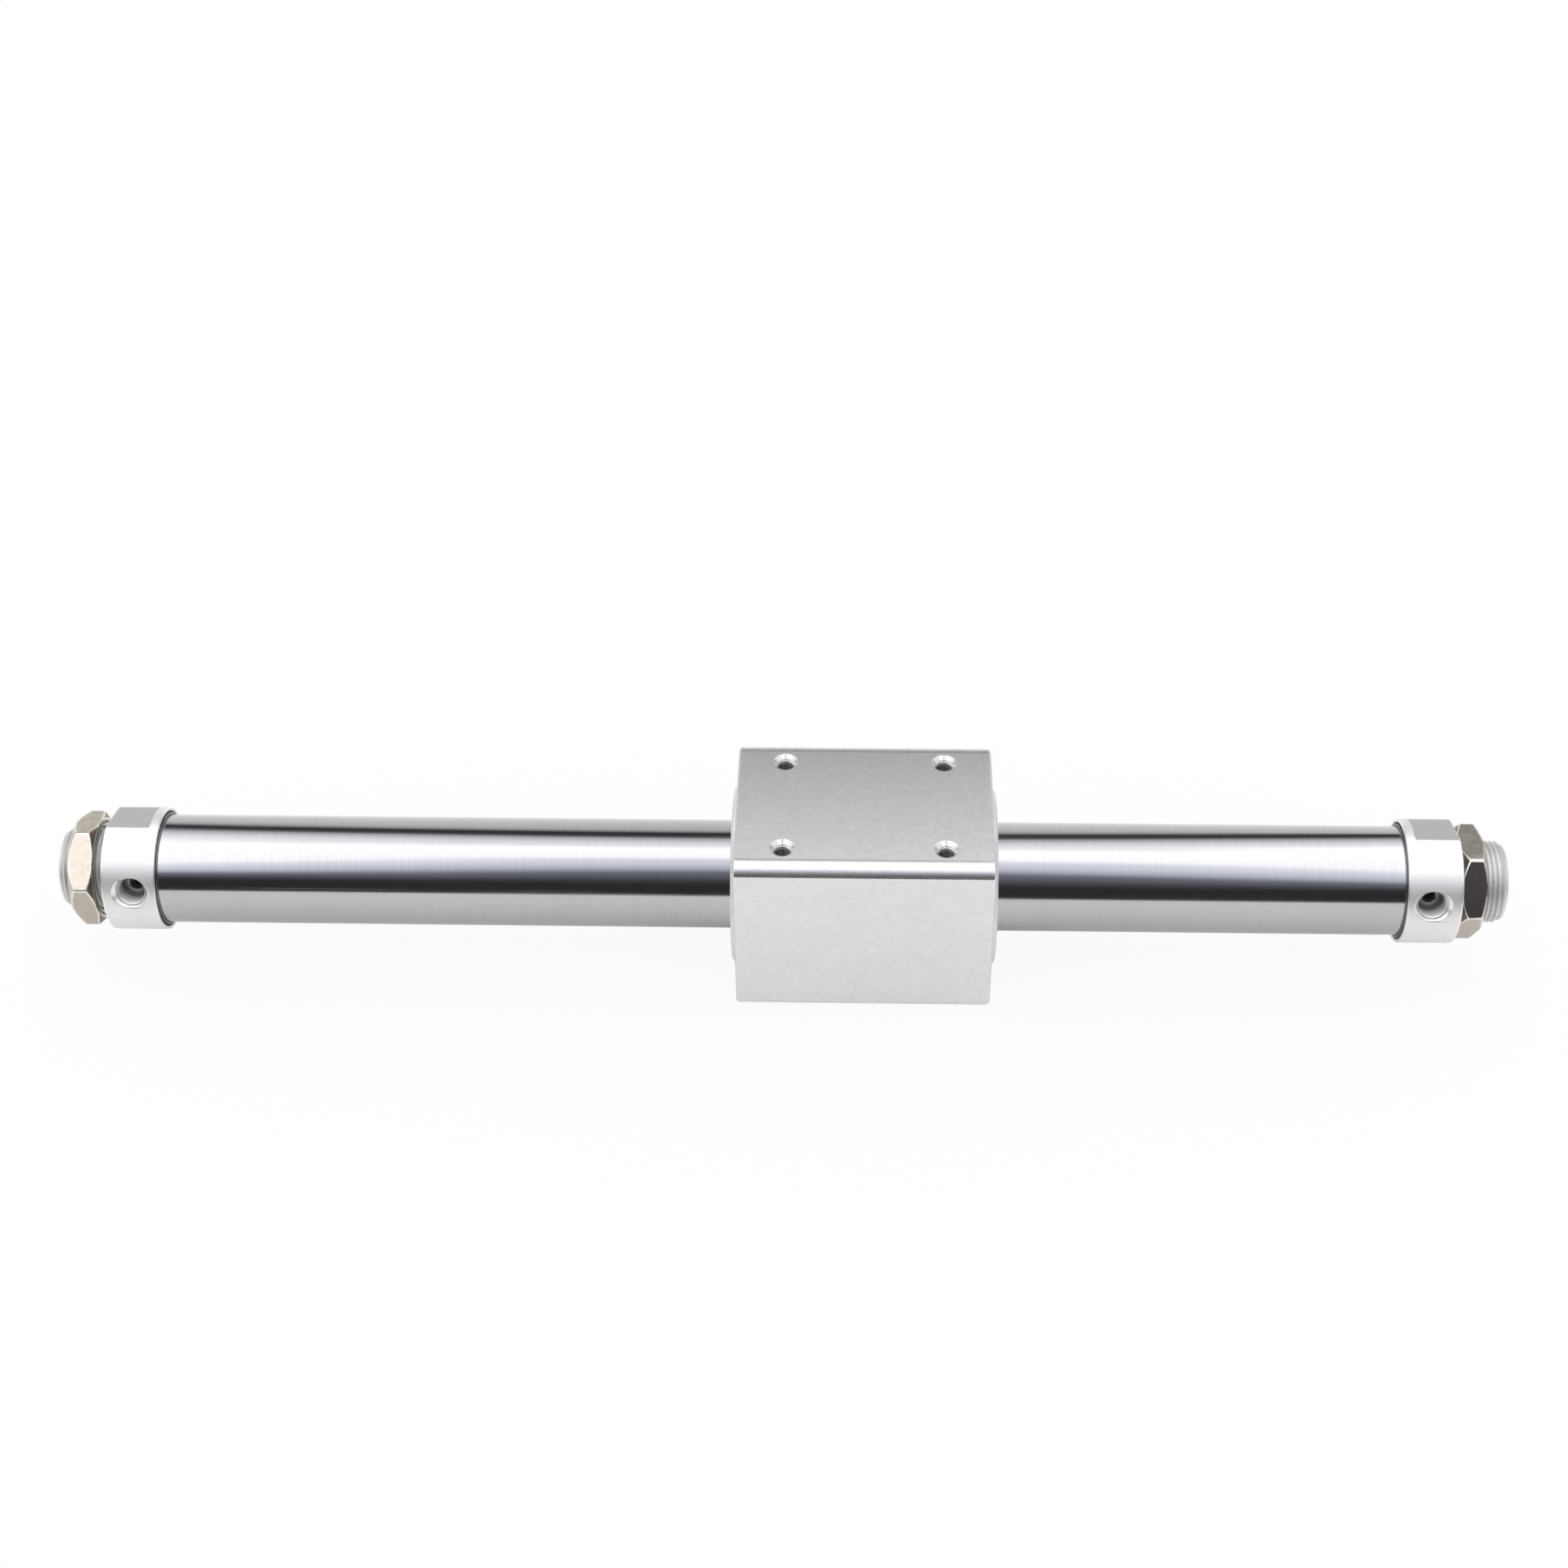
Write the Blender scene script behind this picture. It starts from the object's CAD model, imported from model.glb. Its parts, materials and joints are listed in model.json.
import json
import math

import bmesh
import bpy
from mathutils import Matrix, Vector


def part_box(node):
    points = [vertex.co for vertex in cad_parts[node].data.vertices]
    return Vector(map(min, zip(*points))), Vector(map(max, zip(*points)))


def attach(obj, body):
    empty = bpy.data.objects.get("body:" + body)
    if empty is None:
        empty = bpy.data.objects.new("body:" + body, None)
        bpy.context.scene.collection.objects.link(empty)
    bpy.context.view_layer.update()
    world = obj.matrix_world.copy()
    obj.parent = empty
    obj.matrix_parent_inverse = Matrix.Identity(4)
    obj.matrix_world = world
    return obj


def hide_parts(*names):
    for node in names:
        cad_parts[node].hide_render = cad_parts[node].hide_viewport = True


# own meshes for what shows of a rodless cylinder, and a finish for every piece
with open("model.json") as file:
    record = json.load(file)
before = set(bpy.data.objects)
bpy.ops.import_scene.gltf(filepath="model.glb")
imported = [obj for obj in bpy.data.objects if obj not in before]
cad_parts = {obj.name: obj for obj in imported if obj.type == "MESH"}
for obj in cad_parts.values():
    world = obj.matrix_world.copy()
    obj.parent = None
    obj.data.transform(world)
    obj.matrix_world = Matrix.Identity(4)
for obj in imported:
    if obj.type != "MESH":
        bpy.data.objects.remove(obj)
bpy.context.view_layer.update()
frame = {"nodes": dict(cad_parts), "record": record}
slotOf = {part["node"]: part["material_slot"] for part in frame["record"]["subparts"]}
mm = 0.001  # the frame is in metres and the sizes below are in millimetres
tiny = 1e-6  # a length that counts as none
past = 1.0  # how far a cutter reaches beyond what it cuts
arcSteps = 6  # straight stretches in a rounded corner
white = (1.0, 1.0, 1.0, 1.0)
ends = {"left": -1, "right": 1}  # the two ends of the cylinder and their side of the X axis
plainFace, wornEdge, markedFace = 0, 1, 2  # material slots that mark a piece's faces while it is made
wornLevels = {plainFace: 0.0, wornEdge: 1.0, markedFace: 0.5}
sharpFrom = 32  # degrees between two faces from which their edge stays sharp
print("frame loaded:", len(frame["nodes"]), "nodes")


class Value:  # a node's output, which Python expressions turn into Math nodes
    def __init__(self, tree, socket):
        self.tree = tree
        self.socket = socket

    def math(self, operation, *values):
        return self.tree.node("ShaderNodeMath", {"operation": operation}, dict(enumerate(values)))

    def __add__(self, other):
        return self.math("ADD", self, other)

    def __radd__(self, other):
        return self.math("ADD", other, self)

    def __sub__(self, other):
        return self.math("SUBTRACT", self, other)

    def __rsub__(self, other):
        return self.math("SUBTRACT", other, self)

    def __mul__(self, other):
        return self.math("MULTIPLY", self, other)

    def __rmul__(self, other):
        return self.math("MULTIPLY", other, self)

    def __truediv__(self, other):
        return self.math("DIVIDE", self, other)

    def __rtruediv__(self, other):
        return self.math("DIVIDE", other, self)

    def atMost(self, other):
        return self.math("MINIMUM", self, other)

    def atLeast(self, other):
        return self.math("MAXIMUM", self, other)

    def root(self):
        return self.math("SQRT", self)

    def magnitude(self):
        return self.math("ABSOLUTE", self)

    def angleFrom(self, other):
        return self.math("ARCTAN2", self, other)

    def between(self, low, high):  # 0 below low, 1 above high, and a soft step from one to the other
        return self.tree.node("ShaderNodeMapRange", {"interpolation_type": "SMOOTHSTEP"},
                              {"Value": self, "From Min": low, "From Max": high})


class Tree:  # one node tree that is being built
    def __init__(self, nodeTree):
        self.tree = nodeTree
        self.tree.nodes.clear()

    def node(self, kind, settings=None, inputs=None, output=0):
        made = self.tree.nodes.new(kind)
        for name, setting in (settings or {}).items():
            if name == "stops":
                self.setStops(made.color_ramp, setting)
            else:
                setattr(made, name, setting)
        for name, given in (inputs or {}).items():
            if isinstance(given, Value):
                self.tree.links.new(given.socket, made.inputs[name])
            else:
                made.inputs[name].default_value = given
        return Value(self, made.outputs[output]) if made.outputs else made

    def setStops(self, ramp, stops):
        while len(ramp.elements) < len(stops):
            ramp.elements.new(1.0)
        for element, (place, colour) in zip(ramp.elements, stops):
            element.position = place
            element.color = (*colour, 1.0)

    def output(self, value, name):  # another output of the node that made a value
        return Value(self, value.socket.node.outputs[name])

    def apart(self, vector):  # the X, Y and Z of a vector
        parts = self.node("ShaderNodeSeparateXYZ", None, {0: vector})
        return [self.output(parts, axis) for axis in "XYZ"]

    def mix(self, factor, first, second):  # a colour between two
        return self.node("ShaderNodeMix", {"data_type": "RGBA"},
                         {0: factor, 6: colour4(first), 7: colour4(second)}, 2)

    def vector(self, x, y, z):
        return self.node("ShaderNodeCombineXYZ", None, {0: x, 1: y, 2: z})

    def noise(self, vector, scale, detail, roughness):
        return self.node("ShaderNodeTexNoise", None,
                         {"Vector": vector, "Scale": scale, "Detail": detail, "Roughness": roughness})


def colour4(colour):
    return colour if isinstance(colour, Value) else (*colour, 1.0)


class Finish(Tree):  # a material with the coordinates and masks that the finishes share
    def __init__(self, name):
        self.material = bpy.data.materials.new(name)
        self.material.use_nodes = True
        super().__init__(self.material.node_tree)
        coordinates = self.node("ShaderNodeTexCoord")
        self.place = self.output(coordinates, "Object")
        self.x, self.y, self.z = self.apart(self.place)
        self.radius = (self.y * self.y + self.z * self.z).root()
        endwise, _, self.upward = self.apart(self.output(coordinates, "Normal"))
        self.endwise = (endwise * endwise).between(0.9, 1.0)  # 1 on the faces square to the axis
        self.worn = self.readAttribute("worn")  # 1 on worn edges, 0.5 on flats and drawn corners
        self.edges = self.worn.between(0.5, 1.0)
        self.marked = self.worn.between(0.0, 0.5) * (1.0 - self.edges)
        self.deep = self.readAttribute("deep")  # 1 at the bottom of a thread or hole

    def readAttribute(self, name):
        found = self.node("ShaderNodeAttribute", {"attribute_name": name})
        return self.output(found, "Fac")

    def rings(self, scale):  # marks that run round the axis, on walls and end faces alike
        return self.noise(self.vector(self.x * scale, self.radius * scale, 0.0), 1.0, 4.0, 0.6)

    def lengthwise(self, across, along):  # marks that run along the axis, at any place round it
        turned = self.node("ShaderNodeVectorMath", {"operation": "NORMALIZE"},
                           {0: self.vector(0.0, self.y, self.z)})
        spread = self.node("ShaderNodeVectorMath", {"operation": "SCALE"}, {0: turned, "Scale": across})
        return self.noise(self.node("ShaderNodeVectorMath", {"operation": "ADD"},
                                    {0: spread, 1: self.vector(self.x * along, 0.0, 0.0)}), 1.0, 3.0, 0.6)

    def streaks(self, along, across, detail, roughness):  # a noise with its own scale along the axis
        place = self.vector(self.x * along, self.y * across, self.z * across)
        return self.noise(place, 1.0, detail, roughness)

    def bump(self, height, strength=1.0):  # height in metres
        return self.node("ShaderNodeBump", None, {"Height": height, "Distance": 1.0, "Strength": strength})

    def shade(self, varying, fixed):
        shader = self.node("ShaderNodeBsdfPrincipled", None, {**varying, **fixed})
        self.node("ShaderNodeOutputMaterial", None, {"Surface": shader})
        return self.material


def polishedSteel(name, look):  # ground and polished tube: fine marks round it, faint hairlines along it
    f = Finish(name)
    ground = f.rings(look["markScale"])
    cloud = f.noise(f.place, look["cloudScale"], 3.0, 0.55)
    hairlines = f.lengthwise(look["hairAcross"], look["hairAlong"]).between(0.62, 0.72)
    colour = f.mix(cloud, look["colour"], look["coolColour"])
    colour = f.mix(ground.between(0.4, 0.6) * look["groundShare"], colour, look["groundColour"])
    colour = f.mix(hairlines * look["hairShare"], colour, look["hairColour"])
    rough = look["roughness"] + cloud * 0.03 + (ground - 0.5) * 0.06 + hairlines * 0.05 + f.worn * 0.08
    height = ground * look["markDepth"] + hairlines * look["hairDepth"]
    bump = f.bump(height, look["bumpStrength"])
    return f.shade({"Base Color": colour, "Roughness": rough, "Normal": bump}, {"Metallic": 1.0})


def turnedMetal(name, look):  # lathe marks, a fine grain, brighter rubbed edges, grime deep in the threads
    f = Finish(name)
    marks = f.rings(look["markScale"])
    grain = f.noise(f.place, look["grainScale"], 4.0, 0.65)
    cloud = f.noise(f.place, look["cloudScale"], 3.0, 0.5)
    faced = f.rings(look["facedScale"]).between(0.42, 0.6) * f.endwise  # rings where an end was faced
    rub = f.edges * (f.noise(f.place, look["rubScale"], 3.0, 0.6).between(0.2, 0.5) * 0.5 + 0.5)
    colour = f.mix(cloud, look["colour"], look["otherColour"])
    colour = f.mix(faced * look["facedShare"], colour, look["facedColour"])
    colour = f.mix(f.marked * look["milledShare"], colour, look["milledColour"])  # the spanner flats
    colour = f.mix(rub * look["rubShare"], colour, look["rubColour"])
    colour = f.mix(f.deep * look["grimeShare"], colour, look["grimeColour"])
    rough = look["roughness"] + (marks - 0.5) * 0.14 + (grain - 0.5) * 0.12 + f.deep * 0.15 - rub * 0.2
    height = marks * look["markDepth"] + grain * look["grainDepth"]
    return f.shade({"Base Color": colour, "Roughness": rough.atLeast(0.06), "Normal": f.bump(height)},
                   {"Metallic": 1.0})


def anodisedBlock(name, look):  # matt anodising: a fine mottled grain with a cold and a warm cast
    f = Finish(name)
    grain = f.noise(f.place, look["grainScale"], 5.0, 0.7)
    mottle = f.noise(f.place, look["mottleScale"], 4.0, 0.6)
    cast = f.noise(f.place, look["castScale"], 2.0, 0.5)
    drawn = f.streaks(look["drawnAlong"], look["drawnAcross"], 3.0, 0.6)
    smooth = f.worn.between(0.0, 0.5)  # the rounded corners and the broken edges alike
    rub = f.edges * f.noise(f.place, look["rubScale"], 3.0, 0.6).between(0.2, 0.6)
    film = f.upward.between(0.85, 1.0) * (f.y * look["filmSlope"] + look["filmShare"])
    coarse = f.upward.atLeast(0.0) * 0.85 + 0.5  # the grain shows most from above
    colour = f.mix(cast.between(0.35, 0.65), look["coldColour"], look["warmColour"])
    colour = f.mix(mottle.between(0.3, 0.7) * coarse * look["mottleShare"], colour, look["dullColour"])
    colour = f.mix(grain.between(0.5, 0.7) * coarse * look["grainShare"], colour, look["grainColour"])
    colour = f.mix(film, colour, look["filmColour"])  # a dull film on the top, thicker to the back
    colour = f.mix(rub * look["rubShare"], colour, look["rubColour"])
    colour = f.mix(f.deep * look["grimeShare"], colour, look["grimeColour"])
    rough = look["roughness"] + (grain - 0.5) * 0.16 + (mottle - 0.5) * 0.1 - smooth * 0.16
    height = (grain * look["grainDepth"] + drawn * look["drawnDepth"]) * (1.0 - smooth * 0.85)
    return f.shade({"Base Color": colour, "Roughness": rough, "Normal": f.bump(height)},
                   {"Metallic": 1.0})


def platedNut(name, look):  # warm plating over ground flats: streaks, stains and bright rubbed corners
    f = Finish(name)
    streaks = f.streaks(look["streakAlong"], look["streakAcross"], 4.0, 0.65)
    stain = f.noise(f.place, look["stainScale"], 4.0, 0.6)
    pits = f.noise(f.place, look["pitScale"], 3.0, 0.6).between(0.66, 0.74)
    rub = f.edges * f.noise(f.place, look["rubScale"], 3.0, 0.6).between(0.15, 0.5)
    dusty = f.upward.between(0.9, 1.0) * (1.0 - rub)
    shut = f.marked  # the side that faces the cover
    colour = f.mix(stain.between(0.48, 0.72), look["colour"], look["stainColour"])
    colour = f.mix(streaks.between(0.5, 0.8) * look["streakShare"], colour, look["streakColour"])
    colour = f.mix(rub * look["rubShare"], colour, look["rubColour"])
    colour = f.mix(pits * look["pitShare"], colour, look["pitColour"])
    colour = f.mix(dusty * (stain.between(0.42, 0.6) * 0.7 + 0.25), colour, look["dustColour"])
    colour = f.mix(shut * look["shutShare"], colour, look["shutColour"])
    rough = look["roughness"] + (streaks - 0.5) * 0.1 + (stain - 0.5) * 0.1 + pits * 0.1 - rub * 0.05
    rough = rough + dusty * (stain.between(0.3, 0.7) * 0.14 + 0.04) + shut * 0.2
    height = streaks * look["streakDepth"] - pits * look["pitDepth"]
    return f.shade({"Base Color": colour, "Roughness": rough.atLeast(0.08), "Normal": f.bump(height)},
                   {"Metallic": 1.0})


def mouldedPlastic(name, look):  # rubber, resin and felt: a grain or fibres, bloom and a rubbed sheen
    f = Finish(name)
    grain = f.noise(f.place, look["grainScale"], 5.0, 0.7)
    bloom = f.noise(f.place, look["bloomScale"], 3.0, 0.55)
    colour = f.mix(bloom.between(0.35, 0.7) * look["bloomShare"], look["colour"], look["bloomColour"])
    colour = f.mix(grain.between(0.5, 0.75) * look["grainShare"], colour, look["grainColour"])
    rough = look["roughness"] + (grain - 0.5) * 0.2 - f.worn * 0.08
    return f.shade({"Base Color": colour, "Roughness": rough,
                    "Normal": f.bump(grain * look["grainDepth"])},
                   {"Metallic": 0.0, "Sheen Weight": look["sheen"]})


# scales are in marks per metre and depths in metres
tubeLook = {
    "colour": (0.50, 0.50, 0.51), "coolColour": (0.55, 0.55, 0.57), "roughness": 0.10, "cloudScale": 22.0,
    "groundColour": (0.38, 0.38, 0.39), "groundShare": 0.12, "markScale": 1500.0, "markDepth": 0.000004,
    "hairColour": (0.66, 0.66, 0.67), "hairShare": 0.12, "hairAcross": 60.0, "hairAlong": 7.0,
    "hairDepth": 0.000006, "bumpStrength": 0.6,
}
coverLook = {
    "colour": (0.86, 0.855, 0.85), "otherColour": (0.89, 0.885, 0.88), "roughness": 0.50,
    "cloudScale": 70.0, "markScale": 2400.0, "markDepth": 0.000007, "grainScale": 2600.0,
    "grainDepth": 0.000007, "milledColour": (0.50, 0.495, 0.485), "milledShare": 0.75,
    "facedColour": (0.62, 0.62, 0.62), "facedShare": 0.3, "facedScale": 900.0,
    "rubColour": (0.97, 0.97, 0.965), "rubShare": 0.85, "rubScale": 900.0,
    "grimeColour": (0.09, 0.085, 0.08), "grimeShare": 0.75,
}
darkRingLook = {
    **coverLook, "colour": (0.07, 0.07, 0.08), "otherColour": (0.11, 0.11, 0.12), "roughness": 0.36,
    "milledShare": 0.0, "facedColour": (0.05, 0.05, 0.06), "rubColour": (0.28, 0.28, 0.29),
}
blockLook = {
    "coldColour": (0.835, 0.83, 0.835), "warmColour": (0.855, 0.845, 0.825), "castScale": 75.0,
    "roughness": 0.46, "dullColour": (0.70, 0.70, 0.705), "mottleShare": 0.62, "mottleScale": 620.0,
    "grainColour": (0.97, 0.97, 0.975), "grainShare": 0.52, "grainScale": 1800.0, "grainDepth": 0.000012,
    "filmColour": (0.02, 0.02, 0.04), "filmShare": 0.18, "filmSlope": 6.6,
    "drawnAlong": 60.0, "drawnAcross": 2600.0, "drawnDepth": 0.000004,
    "rubColour": (0.96, 0.96, 0.96), "rubShare": 0.6, "rubScale": 900.0,
    "grimeColour": (0.05, 0.05, 0.05), "grimeShare": 0.95,
}
endRingLook = {**coverLook, "colour": (0.84, 0.84, 0.85), "otherColour": (0.88, 0.88, 0.88)}
nutLook = {
    "colour": (0.52, 0.47, 0.41), "stainColour": (0.46, 0.405, 0.34), "stainScale": 340.0,
    "roughness": 0.11, "streakColour": (0.57, 0.52, 0.465), "streakShare": 0.25, "streakAlong": 900.0,
    "streakAcross": 140.0, "streakDepth": 0.000005, "rubColour": (0.96, 0.91, 0.82), "rubShare": 0.8,
    "rubScale": 700.0, "pitColour": (0.26, 0.22, 0.17), "pitShare": 0.25, "pitScale": 1400.0,
    "pitDepth": 0.00001, "dustColour": (0.35, 0.32, 0.27), "shutColour": (0.13, 0.11, 0.085),
    "shutShare": 0.75,
}
rubberLook = {"grainShare": 0.35, "sheen": 0.0}
finishes = {
    "tube_steel": polishedSteel("polishedTube", tubeLook),
    "cover_aluminium": turnedMetal("turnedCover", coverLook),
    "ring_aluminium": turnedMetal("darkRing", darkRingLook),
    "block_aluminium": anodisedBlock("anodisedBlock", blockLook),
    "end_ring_aluminium": turnedMetal("turnedEndRing", endRingLook),
    "nut_plating": platedNut("platedNut", nutLook),
    "spring_steel": turnedMetal("springSteel", {
        **coverLook, "colour": (0.36, 0.36, 0.38), "otherColour": (0.44, 0.43, 0.43),
        "rubColour": (0.66, 0.66, 0.66), "roughness": 0.30}),
    "magnet": turnedMetal("magnetPlating", {
        **coverLook, "colour": (0.52, 0.52, 0.53), "otherColour": (0.60, 0.59, 0.57), "roughness": 0.26}),
    "yoke_steel": turnedMetal("yokeSteel", {
        **coverLook, "colour": (0.36, 0.36, 0.37), "otherColour": (0.43, 0.42, 0.41), "roughness": 0.36}),
    "shaft_steel": turnedMetal("shaftSteel", {
        **coverLook, "colour": (0.56, 0.56, 0.57), "otherColour": (0.62, 0.61, 0.60), "roughness": 0.24}),
    "piston_aluminium": turnedMetal("pistonAluminium", {
        **coverLook, "colour": (0.70, 0.70, 0.71), "otherColour": (0.77, 0.77, 0.76), "roughness": 0.28}),
    "seal_rubber": mouldedPlastic("sealRubber", {
        **rubberLook, "colour": (0.018, 0.018, 0.019), "roughness": 0.5,
        "bloomColour": (0.045, 0.045, 0.046), "bloomShare": 0.5, "bloomScale": 150.0,
        "grainColour": (0.03, 0.03, 0.03), "grainScale": 1800.0, "grainDepth": 0.00001}),
    "bumper_rubber": mouldedPlastic("bumperRubber", {
        **rubberLook, "colour": (0.03, 0.03, 0.033), "roughness": 0.45,
        "bloomColour": (0.06, 0.06, 0.065), "bloomShare": 0.6, "bloomScale": 120.0,
        "grainColour": (0.05, 0.05, 0.05), "grainScale": 1500.0, "grainDepth": 0.000012}),
    "wear_resin": mouldedPlastic("wearResin", {
        **rubberLook, "colour": (0.16, 0.10, 0.06), "roughness": 0.42,
        "bloomColour": (0.24, 0.17, 0.11), "bloomShare": 0.5, "bloomScale": 200.0,
        "grainColour": (0.30, 0.23, 0.16), "grainScale": 2200.0, "grainDepth": 0.000008}),
    "felt": mouldedPlastic("greasedFelt", {
        **rubberLook, "colour": (0.42, 0.34, 0.23), "roughness": 0.92, "sheen": 0.3,
        "bloomColour": (0.30, 0.23, 0.14), "bloomShare": 0.8, "bloomScale": 180.0,
        "grainColour": (0.58, 0.50, 0.38), "grainScale": 1300.0, "grainDepth": 0.00012}),
}
print("finishes made:", len(finishes))


def rounded(corners):
    # corners are (x, radius, rounding) in millimetres, in order round the profile
    points, arcs = [], set()
    for i, (x, r, rounding) in enumerate(corners):
        here = Vector((x, r))
        if not rounding:
            points.append(here)
            continue
        back = (Vector(corners[i - 1][:2]) - here).normalized()
        ahead = (Vector(corners[(i + 1) % len(corners)][:2]) - here).normalized()
        half = back.angle(ahead) / 2
        centre = here + (back + ahead).normalized() * rounding / math.sin(half)
        start = here + back * rounding / math.tan(half) - centre
        end = here + ahead * rounding / math.tan(half) - centre
        for step in range(arcSteps + 1):
            points.append(centre + start.slerp(end, step / arcSteps).normalized() * rounding)
            if step < arcSteps:
                arcs.add(len(points) - 1)
    return points, arcs


def turned(name, corners, segments=128, side=1):
    # a profile turned round the X axis; radius 0 closes it on the axis, and side -1 mirrors it
    points, arcs = rounded(corners)
    bm = bmesh.new()
    loops = []
    for x, r in points:
        count = segments if r > tiny else 1
        loops.append([bm.verts.new((side * x * mm, r * mm * math.cos(turn), r * mm * math.sin(turn)))
                      for turn in (math.tau * i / segments for i in range(count))])
    for i, loop in enumerate(loops):
        following = loops[(i + 1) % len(loops)]
        if len(loop) == 1 and len(following) == 1:
            continue
        for j in range(segments):
            k = (j + 1) % segments
            corner = [loop[j % len(loop)], loop[k % len(loop)],
                      following[k % len(following)], following[j % len(following)]]
            face = bm.faces.new(list(dict.fromkeys(corner)))
            face.material_index = wornEdge if i in arcs else plainFace
    return meshObject(name, bm)


def meshObject(name, bm):
    bmesh.ops.recalc_face_normals(bm, faces=bm.faces)
    mesh = bpy.data.meshes.new(name)
    bm.to_mesh(mesh)
    bm.free()
    made = bpy.data.objects.new(name, mesh)
    bpy.context.scene.collection.objects.link(made)
    return made


def evaluated(obj):  # the object with its modifiers turned into a plain mesh
    bpy.context.view_layer.update()
    graph = bpy.context.evaluated_depsgraph_get()
    mesh = bpy.data.meshes.new_from_object(obj.evaluated_get(graph), preserve_all_data_layers=True,
                                           depsgraph=graph)
    obj.modifiers.clear()
    obj.data = mesh
    return obj


def carve(obj, operation, *cutters):
    for cutter in cutters:
        modifier = obj.modifiers.new("carve", "BOOLEAN")
        modifier.operation = operation
        modifier.solver = "EXACT"
        modifier.object = cutter
    evaluated(obj)
    for cutter in cutters:
        bpy.data.objects.remove(cutter)


def roundEdges(obj, width, segments=3, sharperThan=20):
    modifier = obj.modifiers.new("roundEdges", "BEVEL")
    modifier.width = width * mm
    modifier.segments = segments
    modifier.limit_method = "ANGLE"
    modifier.angle_limit = math.radians(sharperThan)
    modifier.use_clamp_overlap = False
    modifier.miter_outer = "MITER_ARC"
    modifier.material = wornEdge


def joined(obj, *others):
    bm = bmesh.new()
    for part in (obj, *others):
        bm.from_mesh(part.data)
    bm.to_mesh(obj.data)
    bm.free()
    for part in others:
        bpy.data.objects.remove(part)


def addSlots(obj):
    while len(obj.data.materials) < len(wornLevels):
        obj.data.materials.append(None)
    return obj


def finished(obj, body, node, deepRule=None):
    # smooth shading, the worn and deep marks, the finish of the slot, and the piece's place in the frame
    evaluated(addSlots(obj))
    obj.data.shade_smooth()
    obj.data.set_sharp_from_angle(angle=math.radians(sharpFrom))
    obj.modifiers.new("weighted", "WEIGHTED_NORMAL").keep_sharp = True
    mesh = evaluated(obj).data
    mesh.name = obj.name
    worn = mesh.attributes.new("worn", "FLOAT", "FACE")
    worn.data.foreach_set("value", [wornLevels[face.material_index] for face in mesh.polygons])
    if deepRule:
        deep = mesh.attributes.new("deep", "FLOAT", "POINT")
        deep.data.foreach_set("value", [min(1.0, max(0.0, deepRule(v.co / mm))) for v in mesh.vertices])
    for face in mesh.polygons:
        face.material_index = 0
    mesh.materials.clear()
    mesh.materials.append(finishes[slotOf[node]])
    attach(obj, body)
    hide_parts(node)


ridgeShare = {"foot": 0.46, "crest": 0.08}  # half the ridge's width at its foot and crest, in pitches


def threadTree():
    # a helical ridge round Z on copies of a grid of points, with ends that sink into the wall
    group = bpy.data.node_groups.new("threadRidge", "GeometryNodeTree")
    for name, kind in [("Pitch", "Float"), ("Turns", "Float"), ("Wall Radius", "Float"),
                       ("Crest Radius", "Float"), ("Run Out", "Float"), ("Sunk", "Float"),
                       ("Points per Turn", "Int"), ("Spacing X", "Float"), ("Spacing Y", "Float"),
                       ("Columns", "Int"), ("Rows", "Int"), ("Finish", "Material")]:
        group.interface.new_socket(name, in_out="INPUT", socket_type="NodeSocket" + kind)
    group.interface.new_socket("Ridge", in_out="OUTPUT", socket_type="NodeSocketGeometry")
    t = Tree(group)
    given = t.node("NodeGroupInput")
    size = {s.name: t.output(given, s.name) for s in group.interface.items_tree if s.in_out == "INPUT"}
    length = size["Pitch"] * size["Turns"]
    path = t.node("GeometryNodeCurveSpiral", None, {
        "Resolution": size["Points per Turn"], "Rotations": size["Turns"],
        "Start Radius": size["Wall Radius"], "End Radius": size["Wall Radius"], "Height": length,
        "Reverse": True})
    path = t.node("GeometryNodeSetCurveNormal", {"mode": "Z_UP"}, {"Curve": path})
    height = size["Crest Radius"] - size["Wall Radius"]
    outward = height / height.magnitude()
    foot, crest = (size["Pitch"] * ridgeShare[part] for part in ("foot", "crest"))
    low = 0.0 - outward * size["Sunk"]
    profile = t.node("GeometryNodeCurvePrimitiveQuadrilateral", {"mode": "POINTS"}, {
        "Point 1": t.vector(low, foot, 0.0), "Point 2": t.vector(height, crest, 0.0),
        "Point 3": t.vector(height, 0.0 - crest, 0.0), "Point 4": t.vector(low, 0.0 - foot, 0.0)})
    ridge = t.node("GeometryNodeCurveToMesh", None,
                   {"Curve": path, "Profile Curve": profile, "Fill Caps": True})
    x, y, z = t.apart(t.node("GeometryNodeInputPosition"))
    radius = (x * x + y * y).root()
    toEnd = z.atMost(length - z)
    fade = (toEnd / size["Run Out"]).atLeast(0.0).atMost(1.0)
    sunkRadius = size["Wall Radius"] + low
    grown = (sunkRadius + (radius - sunkRadius) * fade) / radius
    ridge = t.node("GeometryNodeSetPosition", None,
                   {"Geometry": ridge, "Position": t.vector(x * grown, y * grown, z)})
    grid = t.node("GeometryNodeMeshGrid", None, {
        "Size X": size["Spacing X"], "Size Y": size["Spacing Y"],
        "Vertices X": size["Columns"], "Vertices Y": size["Rows"]})
    copies = t.node("GeometryNodeInstanceOnPoints", None, {"Points": grid, "Instance": ridge})
    real = t.node("GeometryNodeRealizeInstances", None, {"Geometry": copies})
    dressed = t.node("GeometryNodeSetMaterial", None, {"Geometry": real, "Material": size["Finish"]})
    t.node("NodeGroupOutput", None, {"Ridge": dressed})
    return group


threadRidge = threadTree()


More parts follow.
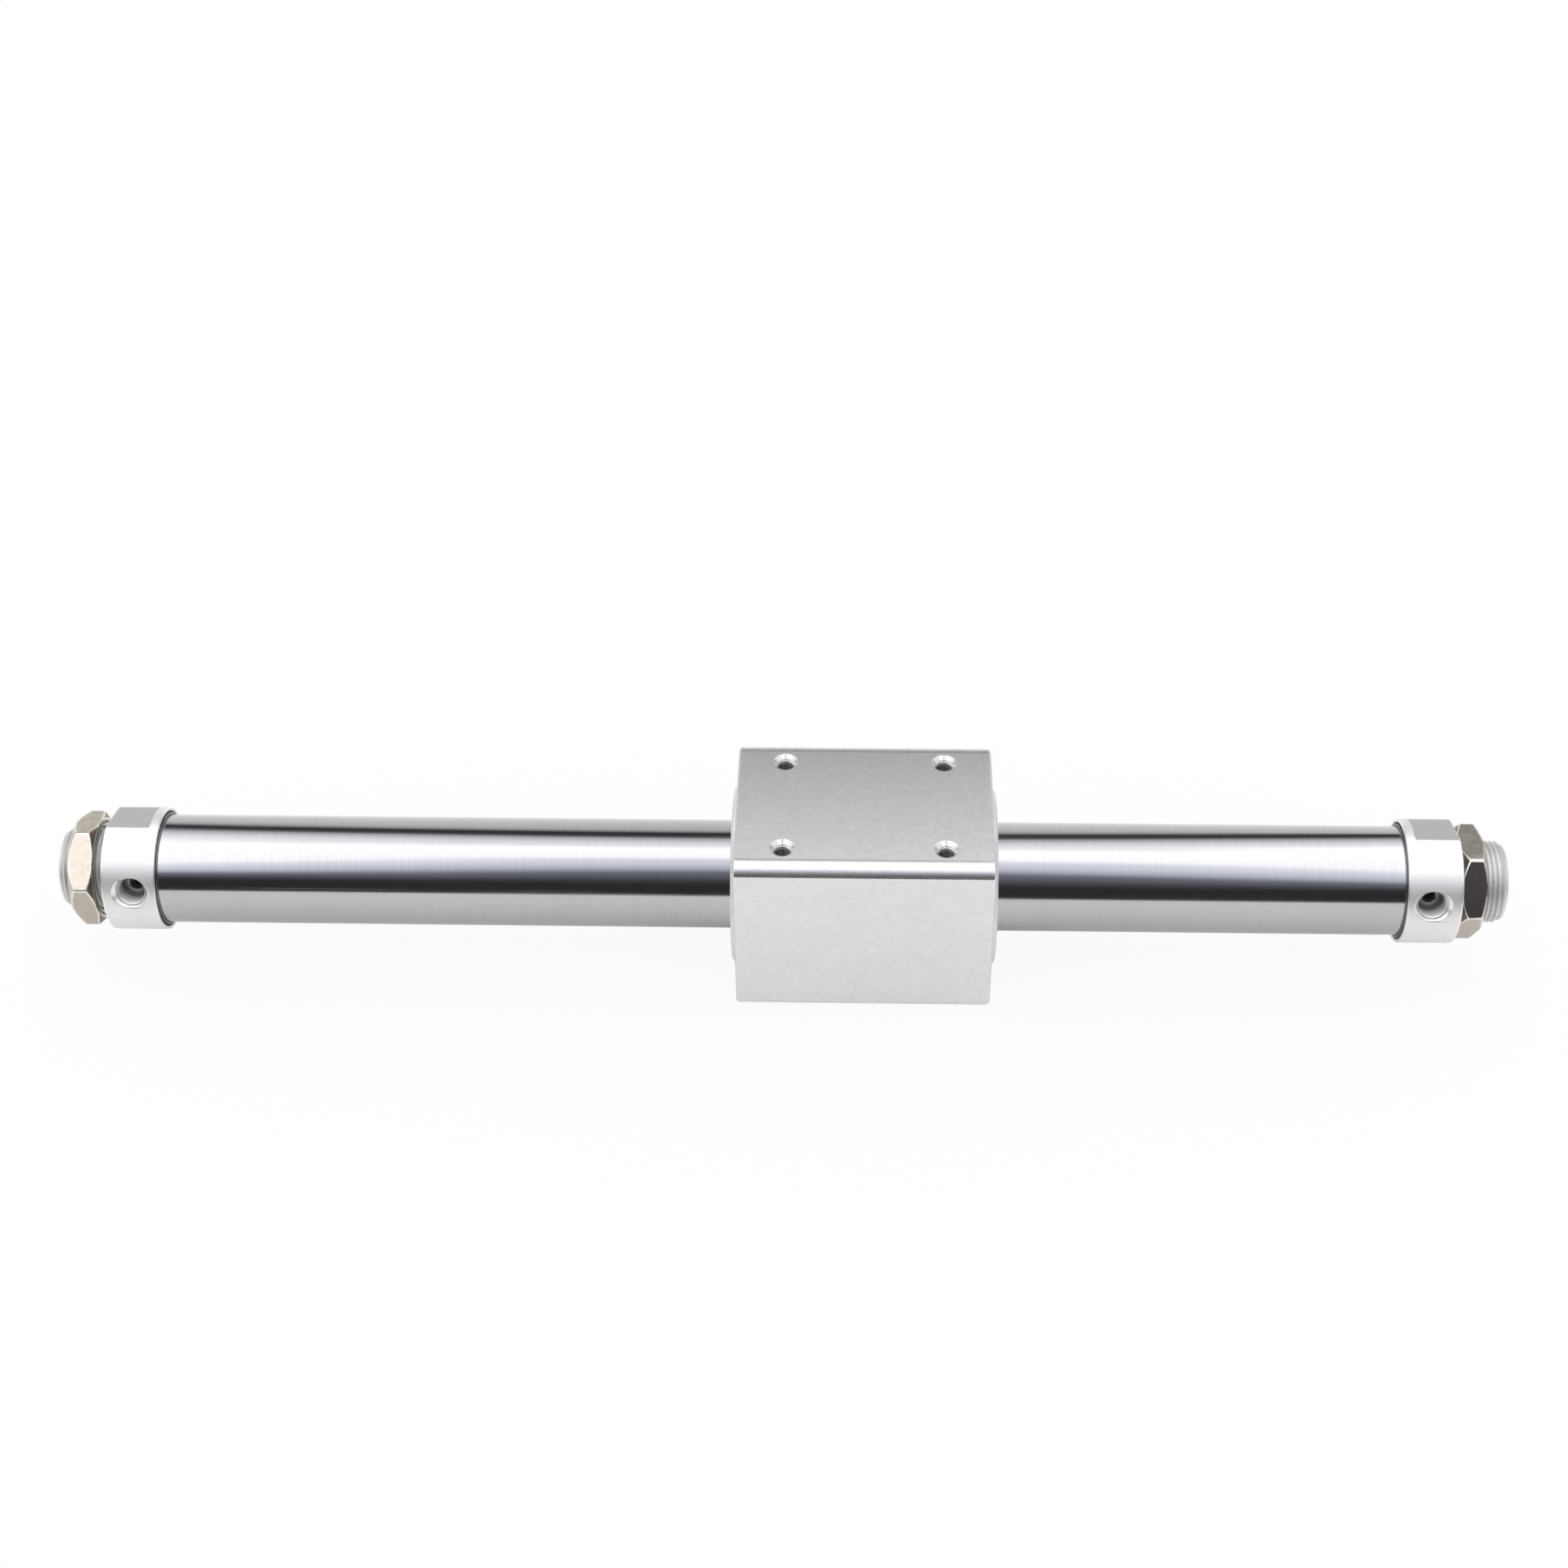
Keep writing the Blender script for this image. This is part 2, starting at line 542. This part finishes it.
def threadOf(name, sizes, place, finish):
    # sizes in millimetres; the ridge starts at Z 0 and place puts it on its piece
    made = bpy.data.objects.new(name, bpy.data.meshes.new(name))
    bpy.context.scene.collection.objects.link(made)
    modifier = made.modifiers.new("thread", "NODES")
    modifier.node_group = threadRidge
    counts = ("Turns", "Points per Turn", "Columns", "Rows")
    inputs = {"Spacing X": 0.0, "Spacing Y": 0.0, "Columns": 1, "Rows": 1, **sizes, "Finish": finish}
    for item in threadRidge.interface.items_tree:
        if item.in_out == "INPUT":
            value = inputs[item.name]
            scaled = item.name not in counts and item.name != "Finish"
            modifier[item.identifier] = value * mm if scaled else value
    evaluated(made)
    made.data.transform(place)
    bm = bmesh.new()
    bm.from_mesh(made.data)
    bmesh.ops.recalc_face_normals(bm, faces=bm.faces)
    bm.to_mesh(made.data)
    bm.free()
    return made


alongX = Matrix.Rotation(math.radians(90), 4, "Y")

tubeLow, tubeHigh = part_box("cylinder_tube")
tube = {"outside": tubeHigh.z / mm, "wall": 1.2, "end": tubeHigh.x / mm, "edge": 0.15, "segments": 192}
inside = tube["outside"] - tube["wall"]


def cylinderTube():
    end, edge = tube["end"], tube["edge"]
    piece = turned("cylinderTube", [
        (-end, inside, edge), (-end, tube["outside"], edge), (end, tube["outside"], edge),
        (end, inside, edge)], segments=tube["segments"])
    finished(piece, "cylinder", "cylinder_tube")


cylinderTube()
print("tube made")

cover = {
    "length": 17.0, "mouthWall": 1.0, "mouthDepth": 2.5, "skirtDepth": 0.9, "rim": 0.35, "mouthRim": 0.25,
    "outerRim": 0.6, "tubeFit": 0.05, "spigotFit": 0.2, "flats": 35.5, "flatLength": 14.0, "edge": 0.22,
    "bossLength": 15.5, "undercut": 1.5, "undercutDepth": 0.3, "bossChamfer": 1.1, "chamferDepth": 0.5,
    "threadStart": 2.6, "portAt": 9.0, "portAngle": 18.5, "portDepth": 8.0, "portWall": 4.62,
    "portCore": 4.2, "portRunOut": 0.8, "portSink": 5.85, "portSinkDepth": 1.35, "portShade": 1.75,
    "threadDrop": 0.1, "passage": 2.2, "gallery": 4.5, "galleryEnd": 206.0, "galleryTip": 0.6,
}
coverGrime = {
    "cleanEnd": 1.0, "cleanCore": 10.0, "bossReach": 1.6, "portSlope": 0.6, "portReach": 6.0,
    "portWall": 0.05, "mouth": 0.6, "mouthReach": 0.25,
}
bossThread = {
    "Pitch": 1.5, "Turns": 8.0, "Wall Radius": 12.1, "Crest Radius": 12.86, "Run Out": 1.1, "Sunk": 0.12,
    "Points per Turn": 128}
portThread = {
    "Pitch": 0.907, "Turns": 7.1, "Wall Radius": 4.62, "Crest Radius": 4.2, "Run Out": 0.7, "Sunk": 0.06,
    "Points per Turn": 64}
coverTurn = Matrix.Rotation(-math.radians(cover["portAngle"]), 4, "X")  # from upright to its place
flatNormal = coverTurn.to_3x3() @ Vector((0, 0, 1))
portAxis = coverTurn.to_3x3() @ Vector((0, -1, 0))


def coverBody(end, shoulder, radius):
    side = ends[end]
    low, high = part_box(end + "_head_cover")
    outer, inner = (high.x, low.x) if side > 0 else (-low.x, -high.x)
    bossEnd, spigotEnd = outer / mm, inner / mm
    mouth = shoulder - cover["length"]
    mouthRadius = radius - cover["mouthWall"]
    skirt = mouth + cover["mouthDepth"]
    skirtEnd = skirt + cover["skirtDepth"]
    tubeRadius = tube["outside"] + cover["tubeFit"]
    spigot = inside - cover["spigotFit"]
    root = bossThread["Wall Radius"]
    undercut, step = shoulder + cover["undercut"], cover["undercutDepth"]
    gallery = cover["gallery"]
    return turned(end + "HeadCover", [
        (spigotEnd, gallery, 0.2), (spigotEnd, spigot, 0.3), (skirtEnd, spigot, 0),
        (skirtEnd, tubeRadius, 0), (skirt, tubeRadius, 0.1), (skirt, mouthRadius, 0.1),
        (mouth, mouthRadius, cover["mouthRim"]), (mouth, radius, cover["rim"]),
        (shoulder, radius, cover["outerRim"]), (shoulder, root - step, 0.2),
        (undercut, root - step, 0), (undercut + step, root, 0),
        (bossEnd - cover["bossChamfer"], root, 0.1), (bossEnd, root - cover["chamferDepth"], 0.25),
        (bossEnd, 0, 0), (cover["galleryEnd"] + gallery * cover["galleryTip"], 0, 0),
        (cover["galleryEnd"], gallery, 0)], side=side)


def spannerFlat(side, up, shoulder, radius):  # cuts one flat
    bm = bmesh.new()
    bmesh.ops.create_cube(bm, size=1.0)
    length = cover["flatLength"] + past
    depth = radius - cover["flats"] / 2 + past
    bmesh.ops.scale(bm, verts=bm.verts, vec=Vector((length, 2 * (radius + past), depth)) * mm)
    middle = (side * (shoulder - cover["flatLength"] + length / 2), 0, up * (cover["flats"] / 2 + depth / 2))
    bmesh.ops.translate(bm, verts=bm.verts, vec=Vector(middle) * mm)
    bmesh.ops.transform(bm, matrix=coverTurn, verts=bm.verts)
    return meshObject("flat", bm)


def portHole(radius, place):  # cuts the air passage, the thread's wall and the countersink
    bottom, wall = radius - cover["portDepth"], cover["portWall"]
    sinkSlope = (cover["portSink"] - wall) / cover["portSinkDepth"]
    hole = turned("hole", [
        (0, 0, 0), (0, cover["passage"], 0), (bottom, cover["passage"], 0),
        (bottom, cover["portCore"], 0.3), (bottom + cover["portRunOut"], wall, 0.1),
        (radius - cover["portShade"], wall, 0), (radius - cover["portSinkDepth"], wall, 0),
        (radius + past, cover["portSink"] + sinkSlope * past, 0), (radius + past, 0, 0)], segments=64)
    hole.data.transform(place)
    return hole


def fromPort(point, portMiddle):  # how far along the port's axis a point lies, and how far off it
    along = (point - portMiddle).dot(portAxis)
    return along, (point - portMiddle - portAxis * along).length


def markCover(piece, radius, portMiddle):  # the spanner flats and the port's bright countersink
    for face in piece.data.polygons:
        onFlat = abs(abs(face.center.dot(flatNormal)) - cover["flats"] / 2 * mm) < 0.01 * mm
        if onFlat and abs(face.normal.dot(flatNormal)) > 0.9999:
            face.material_index = markedFace
        along, across = fromPort(face.center / mm, portMiddle)
        byPort = along > radius - cover["portSinkDepth"] - 0.15 and across < cover["portSink"] + 0.5
        if byPort and 0.4 < face.normal.dot(portAxis) < 0.95:
            face.material_index = wornEdge


def headCover(end):
    side = ends[end]
    low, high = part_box(end + "_head_cover")
    radius = high.z / mm
    shoulder = max(-low.x, high.x) / mm - cover["bossLength"]
    portMiddle = Vector((side * (shoulder - cover["portAt"]), 0, 0))
    toPort = coverTurn @ Matrix.Translation(portMiddle * mm) @ Matrix.Rotation(math.radians(-90), 4, "Z")
    piece = coverBody(end, shoulder, radius)
    flats = [spannerFlat(side, up, shoulder, radius) for up in (1, -1)]
    carve(piece, "DIFFERENCE", *flats, portHole(radius, toPort))
    roundEdges(piece, cover["edge"])
    markCover(evaluated(addSlots(piece)), radius, portMiddle)
    finish = finishes["cover_aluminium"]
    start = shoulder + cover["threadStart"]
    if side < 0:
        start = -start - bossThread["Pitch"] * bossThread["Turns"]
    boss = threadOf("bossThread", bossThread, Matrix.Translation((start * mm, 0, 0)) @ alongX, finish)
    start = radius - cover["portSinkDepth"] - cover["threadDrop"] - portThread["Pitch"] * portThread["Turns"]
    port = threadOf("portThread", portThread, toPort @ Matrix.Translation((start * mm, 0, 0)) @ alongX,
                    finish)
    joined(piece, boss, port)

    def grime(point):
        g = coverGrime
        away = abs(point.x) - shoulder
        r = math.hypot(point.y, point.z)
        if away > cover["undercut"] - 0.1:  # the boss: deep between its threads, clean on its end
            clean = away > cover["bossLength"] - g["cleanEnd"] or r < g["cleanCore"]
            return 0.0 if clean else (bossThread["Crest Radius"] - r) / g["bossReach"]
        along, across = fromPort(point, portMiddle)
        if across < cover["portWall"] + g["portWall"] and 0 < along < radius - 0.5 and away < 0:
            below = radius - cover["portShade"] - along  # the port: darker the deeper in
            groove = (across - portThread["Crest Radius"]) * g["portSlope"]
            return groove + max(0.0, below / g["portReach"]) if below > -0.01 else 0.0
        return g["mouth"] if r < tube["outside"] + g["mouthReach"] and away < 0 else 0.0

    finished(piece, "cylinder", end + "_head_cover", grime)


for end in ends:
    headCover(end)
print("head covers made")

attachment = {"edge": 0.2, "inset": 0.35, "clear": 0.45, "tubeFit": 0.06}


def attachmentRing(end):
    low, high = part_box(end + "_attachment_ring")
    near, far = sorted((abs(low.x) / mm, abs(high.x) / mm))
    near += attachment["inset"]
    inner, outer = tube["outside"] + attachment["tubeFit"], high.z / mm - attachment["clear"]
    piece = turned(end + "AttachmentRing", [
        (near, inner, attachment["edge"]), (near, outer, attachment["edge"]), (far, outer, 0),
        (far, inner, 0)], side=ends[end])
    finished(piece, "cylinder", end + "_attachment_ring")


for end in ends:
    attachmentRing(end)
print("attachment rings made")

nut = {"flats": 32.0, "cornerReach": 0.62, "faceRim": 0.3, "bevelAngle": 42.0, "chamferAngle": 30.0,
       "bore": 13.05, "edge": 0.34, "boreChamfer": 0.9, "leftTurn": 49.0, "rightTurn": 34.0}


def hexagon(name, near, far, corner, turn):  # a six-sided bar with softened corners
    bm = bmesh.new()
    rim = [[bm.verts.new((x * mm, corner * mm * math.cos(a), corner * mm * math.sin(a)))
            for a in (math.radians(60 * i + 90) for i in range(6))] for x in (near, far)]
    bm.faces.new(rim[0])
    bm.faces.new(rim[1])
    for i in range(6):
        bm.faces.new([rim[0][i], rim[0][i - 1], rim[1][i - 1], rim[1][i]])
    edges = [e for e in bm.edges if abs(e.verts[0].co.x - e.verts[1].co.x) > tiny]
    bmesh.ops.bevel(bm, geom=edges, offset=nut["cornerReach"] * mm, segments=6, profile=0.5, affect="EDGES",
                    material=wornEdge)
    bmesh.ops.transform(bm, matrix=Matrix.Rotation(-math.radians(turn), 4, "X"), verts=bm.verts)
    return meshObject(name, bm)


def mountingNut(end):
    low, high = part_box(end + "_mounting_nut")
    near, far = low.x / mm, high.x / mm
    corner = nut["flats"] / math.sqrt(3)
    piece = hexagon(end + "MountingNut", near, far, corner, nut[end + "Turn"])
    face, reach = nut["flats"] / 2 - nut["faceRim"], corner + past
    bevel, chamfer = (math.tan(math.radians(nut[angle])) for angle in ("bevelAngle", "chamferAngle"))
    cones = turned("cones", [
        (near, 0, 0), (near, face, 0), (near + (reach - face) * bevel, reach, 0),
        (far - (reach - face) * chamfer, reach, 0), (far, face, 0), (far, 0, 0)], segments=144)
    carve(piece, "INTERSECT", cones)
    bore, mouth = nut["bore"], nut["boreChamfer"]
    hole = turned("hole", [
        (near - past, 0, 0), (near - past, bore + mouth + past, 0), (near + mouth, bore, 0),
        (far - mouth, bore, 0), (far + past, bore + mouth + past, 0), (far + past, 0, 0)], segments=96)
    carve(addSlots(piece), "DIFFERENCE", hole)
    for polygon in piece.data.polygons:
        if polygon.normal.x * ends[end] < -0.3 and polygon.material_index == plainFace:
            polygon.material_index = markedFace  # the side that faces the cover
    roundEdges(piece, nut["edge"], 4)
    finished(piece, end + "_nut", end + "_mounting_nut")


for end in ends:
    mountingNut(end)
print("mounting nuts made")

blockLow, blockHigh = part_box("slider_block")
sliderMiddle = (blockLow.x + blockHigh.x) / 2 / mm
block = {
    "length": (blockHigh.x - blockLow.x) / mm, "width": (blockHigh.y - blockLow.y) / mm,
    "height": (blockHigh.z - blockLow.z) / mm, "fillet": 5.2, "crease": 20.0, "filletSteps": 12,
    "chamfer": 0.6, "bore": 25.0, "edge": 0.14, "spacingX": 50.0, "spacingY": 40.0, "holeWall": 3.0,
    "holeDepth": 8.0, "holeTip": 1.5, "sink": 3.8, "sinkDepth": 1.15, "sinkSlope": 1.1, "threadDrop": 0.1,
    "grimeFrom": 0.3, "grimeReach": 1.6,
}
holeThread = {
    "Pitch": 1.0, "Turns": 7.0, "Wall Radius": 3.0, "Crest Radius": 2.52, "Run Out": 0.5, "Sunk": 0.06,
    "Points per Turn": 40, "Spacing X": block["spacingX"], "Spacing Y": block["spacingY"],
    "Columns": 2, "Rows": 2}
blockTop = block["height"] / 2
sinkBottom = blockTop - block["sinkDepth"]


def blockLoop(bm, x, inset):  # the milled front and back cut a little into the drawn corners
    fillet, crease, steps = block["fillet"] - inset, block["crease"], block["filletSteps"]
    wide = block["width"] / 2 - inset - fillet * math.cos(math.radians(crease))
    tall = block["height"] / 2 - inset - fillet
    loop = []
    for sideY, sideZ, first, last in ((1, 1, crease, 90), (-1, 1, 90, 180 - crease),
                                      (-1, -1, 180 + crease, 270), (1, -1, 270, 360 - crease)):
        for step in range(steps + 1):
            a = math.radians(first + (last - first) * step / steps)
            y, z = sideY * wide + fillet * math.cos(a), sideZ * tall + fillet * math.sin(a)
            loop.append(bm.verts.new(Vector((x, y, z)) * mm))
    return loop


def blockBody():
    bm = bmesh.new()
    half, chamfer = block["length"] / 2, block["chamfer"]
    loops = [blockLoop(bm, sliderMiddle + x, inset) for x, inset in (
        (-half, chamfer), (chamfer - half, 0), (half - chamfer, 0), (half, chamfer))]
    bm.faces.new(loops[0])
    bm.faces.new(loops[-1])
    for first, second in zip(loops, loops[1:]):
        for i in range(len(first)):
            face = bm.faces.new([first[i - 1], first[i], second[i], second[i - 1]])
            face.material_index = markedFace if i % (block["filletSteps"] + 1) else plainFace
    return meshObject("sliderBlock", bm)


def blockBore():
    start, end = (sliderMiddle + side * (block["length"] / 2 + past) for side in (-1, 1))
    return turned("bore", [(start, 0, 0), (start, block["bore"], 0), (end, block["bore"], 0), (end, 0, 0)],
                  segments=128)


def boltHole(sideX, sideY):  # cuts one hole with its drilled tip and its countersink
    bottom, wall, sink = blockTop - block["holeDepth"], block["holeWall"], block["sink"]
    hole = turned("hole", [
        (bottom - block["holeTip"], 0, 0), (bottom, wall - 0.5, 0), (bottom + 0.4, wall, 0),
        (sinkBottom, wall, 0), (sinkBottom, holeThread["Crest Radius"], 0), (blockTop, sink, 0),
        (blockTop + past, sink + block["sinkSlope"] * past, 0), (blockTop + past, 0, 0)], segments=48)
    place = Vector((sliderMiddle + sideX * block["spacingX"] / 2, sideY * block["spacingY"] / 2, 0))
    hole.data.transform(Matrix.Translation(place * mm) @ Matrix.Rotation(math.radians(-90), 4, "Y"))
    return hole


def sliderBlock():
    piece = blockBody()
    holes = [boltHole(sideX, sideY) for sideX in (-1, 1) for sideY in (-1, 1)]
    carve(addSlots(piece), "DIFFERENCE", blockBore(), *holes)
    roundEdges(piece, block["edge"])
    evaluated(piece)
    for polygon in piece.data.polygons:
        if polygon.material_index == plainFace and 0.3 < polygon.normal.z < 0.95:
            polygon.material_index = markedFace  # the countersinks are cut smooth
    start = sinkBottom - block["threadDrop"] - holeThread["Pitch"] * holeThread["Turns"]
    threads = threadOf("holeThreads", holeThread,
                       Matrix.Translation(Vector((sliderMiddle, 0, start)) * mm),
                       finishes["block_aluminium"])
    joined(piece, threads)

    def grime(point):  # darker the deeper in a hole
        across = math.hypot(abs(point.x - sliderMiddle) - block["spacingX"] / 2,
                            abs(point.y) - block["spacingY"] / 2)
        inHole = across < block["holeWall"] + 0.1 and 0 < point.z < sinkBottom
        return (sinkBottom - block["grimeFrom"] - point.z) / block["grimeReach"] if inHole else 0.0

    finished(piece, "slider", "slider_block", grime)


sliderBlock()
print("slider block made")

sliderEnd = {  # places along X are from the slider's middle
    "flange": 28.0, "seat": 21.0, "neck": 17.6, "plug": 24.95, "bevel": 0.9, "proud": 0.01, "fit": 0.05,
    "stackHalf": 24.0, "feltIn": 34.4, "scraperIn": 36.9, "lip": 0.6, "snapIn": 39.9, "snapOut": 40.9,
    "snapGroove": 0.8, "snapEdge": 0.1,
}
toSlider = Matrix.Translation((sliderMiddle * mm, 0, 0))


def sliderEndRing(end):
    low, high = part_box(end + "_slider_end_ring")
    e = sliderEnd
    face = max(high.x / mm - sliderMiddle, sliderMiddle - low.x / mm)
    back = block["length"] / 2 + e["proud"]
    groove = e["seat"] + e["snapGroove"]
    piece = turned(end + "SliderEndRing", [
        (e["stackHalf"], e["neck"], 0.1), (e["stackHalf"], e["plug"], 0.1), (back, e["plug"], 0),
        (back, e["flange"], 0.1), (face - e["bevel"], e["flange"], 0.1),
        (face, e["flange"] - e["bevel"], 0.3), (face, e["seat"], 0.12), (e["snapOut"], e["seat"], 0),
        (e["snapOut"], groove, 0), (e["snapIn"], groove, 0), (e["snapIn"], e["seat"], 0),
        (e["feltIn"], e["seat"], 0), (e["feltIn"], e["neck"], 0.1)], side=ends[end])
    piece.data.transform(toSlider)
    finished(piece, "slider", end + "_slider_end_ring")


def scraper(end):
    e = sliderEnd
    snap, start, lip, neck = e["snapIn"] - e["fit"], e["scraperIn"], e["lip"], e["neck"]
    tubeWall, seat = tube["outside"] + e["fit"], e["seat"] - e["fit"]
    piece = turned(end + "Scraper", [
        (snap, tubeWall, 0.08), (snap - lip, tubeWall, 0), (start + lip, neck + lip, 0.2),
        (start, neck + lip, 0.1), (start, seat, 0.2), (snap, seat, 0.2),
        (snap, neck + 3 * lip, 0.15), (snap - 2 * lip, neck + 2 * lip, 0.3)], side=ends[end])
    piece.data.transform(toSlider)
    finished(piece, "slider", end + "_scraper")


def sliderRetainingRing(end):  # the CAD ring's own shape with its edges rounded
    node = end + "_slider_retaining_ring"
    piece = bpy.data.objects.new(end + "SliderRetainingRing", frame["nodes"][node].data.copy())
    bpy.context.scene.collection.objects.link(piece)
    bm = bmesh.new()
    bm.from_mesh(piece.data)
    bmesh.ops.remove_doubles(bm, verts=bm.verts, dist=tiny)
    bmesh.ops.dissolve_limit(bm, angle_limit=math.radians(1), verts=bm.verts, edges=bm.edges)
    bmesh.ops.recalc_face_normals(bm, faces=bm.faces)
    bm.to_mesh(piece.data)
    bm.free()
    piece.data.materials.clear()
    roundEdges(addSlots(piece), sliderEnd["snapEdge"], 2, 35)
    finished(piece, "slider", node)


for end in ends:
    sliderEndRing(end)
    scraper(end)
    sliderRetainingRing(end)
print("slider ends made")

carried = [name for name, cadNode in frame["nodes"].items() if not cadNode.hide_render]
for name in carried:  # the pieces inside keep their CAD shape
    cadNode = frame["nodes"][name]
    cadNode.data.materials.clear()
    cadNode.data.materials.append(finishes[slotOf[name]])
print("carried over:", len(carried))

floorSizes = {  # in metres
    "halfX": 0.9, "front": -0.36, "back": 0.9, "drop": 0.00002,
    "seenShare": 0.9,  # how much of the floor's white needs no light
}


def paleFloor():
    z = blockLow.z - floorSizes["drop"]
    bm = bmesh.new()
    bm.faces.new([bm.verts.new((x, y, z)) for x, y in (
        (-floorSizes["halfX"], floorSizes["front"]), (floorSizes["halfX"], floorSizes["front"]),
        (floorSizes["halfX"], floorSizes["back"]), (-floorSizes["halfX"], floorSizes["back"]))])
    floor = meshObject("floor", bm)
    material = bpy.data.materials.new("paleFloor")
    material.use_nodes = True
    t = Tree(material.node_tree)
    seen = t.output(t.node("ShaderNodeLightPath"), "Is Camera Ray") * floorSizes["seenShare"]
    matt = t.node("ShaderNodeBsdfDiffuse", None, {"Color": white})
    lit = t.node("ShaderNodeEmission", None, {"Color": white, "Strength": 1.0})
    both = t.node("ShaderNodeMixShader", None, {0: seen, 1: matt, 2: lit})
    t.node("ShaderNodeOutputMaterial", None, {"Surface": both})
    floor.data.materials.append(material)


studio = {
    "strength": 2.4,
    "levels": [  # angle over the front horizon, in degrees, and how bright the studio is there
        (-180, (0.90, 0.90, 0.90)), (-6, (0.90, 0.90, 0.90)), (-4.5, (0.034, 0.034, 0.038)),
        (20, (0.034, 0.034, 0.038)), (29, (0.09, 0.09, 0.10)), (38, (0.17, 0.18, 0.21)),
        (47, (0.24, 0.25, 0.29)), (56, (0.77, 0.80, 0.93)), (64, (1.08, 1.11, 1.24)),
        (73, (1.25, 1.27, 1.37)), (78, (1.85, 1.85, 1.88)), (97, (2.06, 2.06, 2.06)),
        (102, (1.51, 1.52, 1.56)), (112, (1.19, 1.20, 1.25)), (118, (0.86, 0.87, 0.91)),
        (123, (0.59, 0.60, 0.62)), (127, (0.076, 0.076, 0.08)), (138, (0.024, 0.024, 0.026)),
        (144, (0.47, 0.47, 0.48)), (149, (0.73, 0.73, 0.74)), (158, (0.84, 0.84, 0.84)),
        (168, (0.88, 0.88, 0.88)), (180, (0.95, 0.95, 0.95))],
    "frontBend": 339.0, "frontMiddle": 0.0, "frontFrom": (15, 45), "frontTo": (60, 90),
    "backBend": 263.0, "backMiddle": -0.066, "backFrom": (95, 115), "backTo": (155, 175), "mostBend": 0.12,
    "rightFrom": (0.28, 0.7), "rightDim": 0.5, "besideFrom": (0.45, 0.8), "besideDim": 0.45,
}


def studioLight():  # plain white light, and a shaded studio that only the metal mirrors
    world = bpy.data.worlds.new("studio")
    bpy.context.scene.world = world
    world.use_nodes = True
    t = Tree(world.node_tree)
    ray = t.node("ShaderNodeLightPath")
    mirrored = (t.output(ray, "Is Glossy Ray") + t.output(ray, "Is Transmission Ray")).atMost(1.0)
    mirrored = mirrored * (1.0 - t.output(ray, "Is Camera Ray"))
    sideways, forward, upward = t.apart(t.output(t.node("ShaderNodeTexCoord"), "Generated"))
    angle = upward.angleFrom(0.0 - forward) * math.degrees(1)

    def bend(part):  # the bright part of the studio grows wider towards its ends
        away = sideways - studio[part + "Middle"]
        reach = angle.between(*studio[part + "From"]) * (1.0 - angle.between(*studio[part + "To"]))
        return (away * away).atMost(studio["mostBend"]) * studio[part + "Bend"] * reach

    bent = angle + bend("front") - bend("back")
    levels = [((degrees + 180) / 360, tuple(c / studio["strength"] for c in level))
              for degrees, level in studio["levels"]]
    gradient = t.node("ShaderNodeValToRGB", {"stops": levels}, {"Fac": bent / 360 + 0.5})
    right = sideways.between(*studio["rightFrom"]) * studio["rightDim"]
    beside = sideways.magnitude().between(*studio["besideFrom"]) * studio["besideDim"]
    strength = (1.0 - right.atLeast(beside)) * studio["strength"]
    plain = t.node("ShaderNodeBackground", None, {"Color": white, "Strength": 1.0})
    shaped = t.node("ShaderNodeBackground", None, {"Color": gradient, "Strength": strength})
    both = t.node("ShaderNodeMixShader", None, {0: mirrored, 1: plain, 2: shaped})
    t.node("ShaderNodeOutputWorld", None, {"Surface": both})


# the place in metres, the angles in degrees and the lens in millimetres
view = {"place": (0.0246, -0.5815, 0.5482), "turn": -2.216, "down": 41.230, "roll": -0.938, "lens": 57.65}


def mainCamera():
    turn, down, roll = (math.radians(view[key]) for key in ("turn", "down", "roll"))
    ahead = Vector((math.sin(turn) * math.cos(down), math.cos(turn) * math.cos(down), -math.sin(down)))
    right = Vector((math.cos(turn), -math.sin(turn), 0))
    up = right.cross(ahead)
    across = math.cos(roll) * right + math.sin(roll) * up
    upward = math.cos(roll) * up - math.sin(roll) * right
    data = bpy.data.cameras.new("camera")
    data.lens = view["lens"]
    data.sensor_width = 36.0
    data.clip_start = 0.01
    camera = bpy.data.objects.new("camera", data)
    facing = Matrix((across, upward, -ahead)).transposed().to_4x4()
    camera.matrix_world = Matrix.Translation(view["place"]) @ facing
    bpy.context.scene.collection.objects.link(camera)
    bpy.context.scene.camera = camera


paleFloor()
studioLight()
mainCamera()
bpy.context.scene.view_settings.view_transform = "Standard"
print("studio and camera made")
